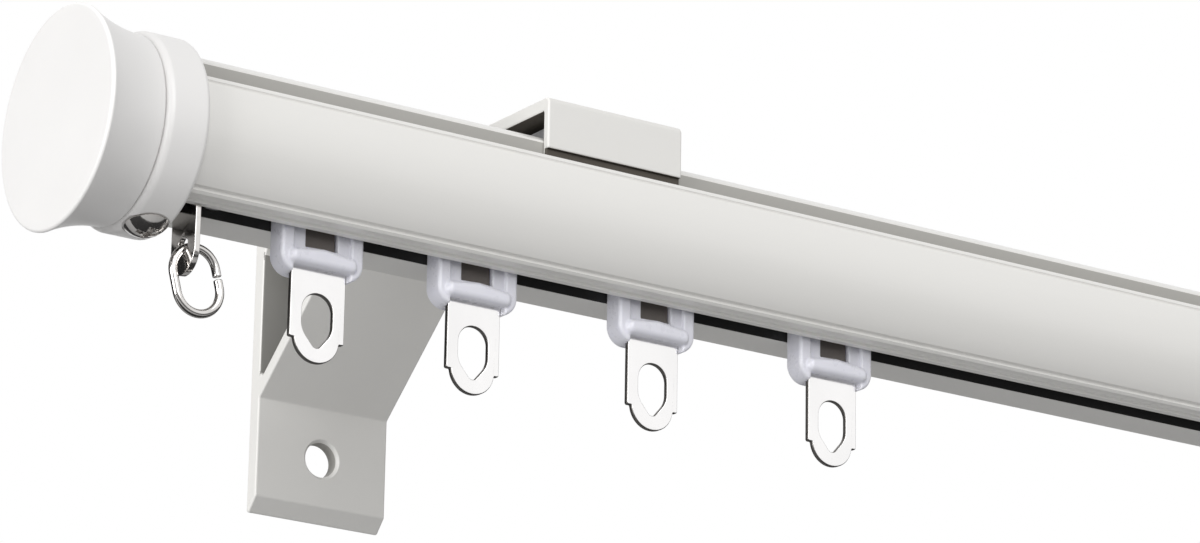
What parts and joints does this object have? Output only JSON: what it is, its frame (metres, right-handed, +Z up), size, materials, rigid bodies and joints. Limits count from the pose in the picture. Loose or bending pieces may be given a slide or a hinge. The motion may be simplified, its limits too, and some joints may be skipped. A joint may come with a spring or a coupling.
{
  "type": "curtain rod",
  "caption": "Round slotted curtain rod with flared finials, two wall brackets, sliding roller gliders with hook eyes, and an oval ring at each end.",
  "frame": {"origin": "centre of the left bracket's screw hole, on the wall", "axes": "+X along the rod to the right, +Y into the wall, +Z up"},
  "size_m": [0.6, 0.1028, 0.052],
  "materials": {
    "powder_coat": "satin off-white powder coat",
    "finial_coat": "smooth satin off-white paint",
    "bracket_coat": "satin off-white powder coat",
    "nylon": "slightly translucent natural nylon",
    "polished_steel": "polished stamped steel",
    "nickel": "bright nickel plate",
    "plated_steel": "zinc plate"
  },
  "bodies": {
    "rod_assembly": {"rod": "powder_coat", "finial_head_left": "finial_coat", "finial_collar_left": "finial_coat", "collar_screw_left": "nickel", "end_stop_left": "nickel", "end_stop_screw_left": "plated_steel", "bracket_left": "bracket_coat", "lock_plate_left": "plated_steel", "lock_screw_left": "plated_steel", "finial_head_right": "finial_coat", "finial_collar_right": "finial_coat", "collar_screw_right": "nickel", "end_stop_right": "nickel", "end_stop_screw_right": "plated_steel", "bracket_right": "bracket_coat", "lock_plate_right": "plated_steel", "lock_screw_right": "plated_steel"},
    "glider_1": {"glider_body_1": "nylon", "eye_plate_1": "polished_steel"},
    "wheelset_1_a": {"wheelset_1_a": "nylon"},
    "wheelset_1_b": {"wheelset_1_b": "nylon"},
    "glider_2": {"glider_body_2": "nylon", "eye_plate_2": "polished_steel"},
    "wheelset_2_a": {"wheelset_2_a": "nylon"},
    "wheelset_2_b": {"wheelset_2_b": "nylon"},
    "glider_3": {"glider_body_3": "nylon", "eye_plate_3": "polished_steel"},
    "wheelset_3_a": {"wheelset_3_a": "nylon"},
    "wheelset_3_b": {"wheelset_3_b": "nylon"},
    "glider_4": {"glider_body_4": "nylon", "eye_plate_4": "polished_steel"},
    "wheelset_4_a": {"wheelset_4_a": "nylon"},
    "wheelset_4_b": {"wheelset_4_b": "nylon"},
    "glider_5": {"glider_body_5": "nylon", "eye_plate_5": "polished_steel"},
    "wheelset_5_a": {"wheelset_5_a": "nylon"},
    "wheelset_5_b": {"wheelset_5_b": "nylon"},
    "glider_6": {"glider_body_6": "nylon", "eye_plate_6": "polished_steel"},
    "wheelset_6_a": {"wheelset_6_a": "nylon"},
    "wheelset_6_b": {"wheelset_6_b": "nylon"},
    "glider_7": {"glider_body_7": "nylon", "eye_plate_7": "polished_steel"},
    "wheelset_7_a": {"wheelset_7_a": "nylon"},
    "wheelset_7_b": {"wheelset_7_b": "nylon"},
    "glider_8": {"glider_body_8": "nylon", "eye_plate_8": "polished_steel"},
    "wheelset_8_a": {"wheelset_8_a": "nylon"},
    "wheelset_8_b": {"wheelset_8_b": "nylon"},
    "end_ring_left": {"end_ring_left": "nickel"},
    "end_ring_right": {"end_ring_right": "nickel"}
  },
  "joints": [
    {"name": "glider_1_slide", "type": "slide", "parent": "rod_assembly", "child": "glider_1", "axis": [1, 0, 0], "range_m": [-0.00725, 0.0137]},
    {"name": "wheelset_1_a_spin", "type": "hinge", "parent": "glider_1", "child": "wheelset_1_a", "pos_m": [-0.0563, -0.0868, 0.0149], "axis": [0, 1, 0], "continuous": true},
    {"name": "wheelset_1_b_spin", "type": "hinge", "parent": "glider_1", "child": "wheelset_1_b", "pos_m": [-0.0477, -0.0868, 0.0149], "axis": [0, 1, 0], "continuous": true},
    {"name": "glider_2_slide", "type": "slide", "parent": "rod_assembly", "child": "glider_2", "axis": [1, 0, 0], "range_m": [-0.0137, 0.0196]},
    {"name": "wheelset_2_a_spin", "type": "hinge", "parent": "glider_2", "child": "wheelset_2_a", "pos_m": [-0.0269, -0.0868, 0.0149], "axis": [0, 1, 0], "continuous": true},
    {"name": "wheelset_2_b_spin", "type": "hinge", "parent": "glider_2", "child": "wheelset_2_b", "pos_m": [-0.0183, -0.0868, 0.0149], "axis": [0, 1, 0], "continuous": true},
    {"name": "glider_3_slide", "type": "slide", "parent": "rod_assembly", "child": "glider_3", "axis": [1, 0, 0], "range_m": [-0.0196, 0.0213]},
    {"name": "wheelset_3_a_spin", "type": "hinge", "parent": "glider_3", "child": "wheelset_3_a", "pos_m": [0.0084, -0.0868, 0.0149], "axis": [0, 1, 0], "continuous": true},
    {"name": "wheelset_3_b_spin", "type": "hinge", "parent": "glider_3", "child": "wheelset_3_b", "pos_m": [0.017, -0.0868, 0.0149], "axis": [0, 1, 0], "continuous": true},
    {"name": "glider_4_slide", "type": "slide", "parent": "rod_assembly", "child": "glider_4", "axis": [1, 0, 0], "range_m": [-0.0213, 0.14395]},
    {"name": "wheelset_4_a_spin", "type": "hinge", "parent": "glider_4", "child": "wheelset_4_a", "pos_m": [0.0454, -0.0868, 0.0149], "axis": [0, 1, 0], "continuous": true},
    {"name": "wheelset_4_b_spin", "type": "hinge", "parent": "glider_4", "child": "wheelset_4_b", "pos_m": [0.054, -0.0868, 0.0149], "axis": [0, 1, 0], "continuous": true},
    {"name": "glider_5_slide", "type": "slide", "parent": "rod_assembly", "child": "glider_5", "axis": [1, 0, 0], "range_m": [-0.14395, 0.0213]},
    {"name": "wheelset_5_a_spin", "type": "hinge", "parent": "glider_5", "child": "wheelset_5_a", "pos_m": [0.349, -0.0868, 0.0149], "axis": [0, 1, 0], "continuous": true},
    {"name": "wheelset_5_b_spin", "type": "hinge", "parent": "glider_5", "child": "wheelset_5_b", "pos_m": [0.3576, -0.0868, 0.0149], "axis": [0, 1, 0], "continuous": true},
    {"name": "glider_6_slide", "type": "slide", "parent": "rod_assembly", "child": "glider_6", "axis": [1, 0, 0], "range_m": [-0.0213, 0.0196]},
    {"name": "wheelset_6_a_spin", "type": "hinge", "parent": "glider_6", "child": "wheelset_6_a", "pos_m": [0.386, -0.0868, 0.0149], "axis": [0, 1, 0], "continuous": true},
    {"name": "wheelset_6_b_spin", "type": "hinge", "parent": "glider_6", "child": "wheelset_6_b", "pos_m": [0.3946, -0.0868, 0.0149], "axis": [0, 1, 0], "continuous": true},
    {"name": "glider_7_slide", "type": "slide", "parent": "rod_assembly", "child": "glider_7", "axis": [1, 0, 0], "range_m": [-0.0196, 0.0137]},
    {"name": "wheelset_7_a_spin", "type": "hinge", "parent": "glider_7", "child": "wheelset_7_a", "pos_m": [0.4213, -0.0868, 0.0149], "axis": [0, 1, 0], "continuous": true},
    {"name": "wheelset_7_b_spin", "type": "hinge", "parent": "glider_7", "child": "wheelset_7_b", "pos_m": [0.4299, -0.0868, 0.0149], "axis": [0, 1, 0], "continuous": true},
    {"name": "glider_8_slide", "type": "slide", "parent": "rod_assembly", "child": "glider_8", "axis": [1, 0, 0], "range_m": [-0.0137, 0.00725]},
    {"name": "wheelset_8_a_spin", "type": "hinge", "parent": "glider_8", "child": "wheelset_8_a", "pos_m": [0.4507, -0.0868, 0.0149], "axis": [0, 1, 0], "continuous": true},
    {"name": "wheelset_8_b_spin", "type": "hinge", "parent": "glider_8", "child": "wheelset_8_b", "pos_m": [0.4593, -0.0868, 0.0149], "axis": [0, 1, 0], "continuous": true},
    {"name": "end_ring_left_swing", "type": "hinge", "parent": "rod_assembly", "child": "end_ring_left", "pos_m": [-0.07585, -0.0868, 0.00348], "axis": [1, 0, 0], "range_deg": [-90, 90]},
    {"name": "end_ring_right_swing", "type": "hinge", "parent": "rod_assembly", "child": "end_ring_right", "pos_m": [0.47885, -0.0868, 0.00348], "axis": [1, 0, 0], "range_deg": [-90, 90]}
  ]
}
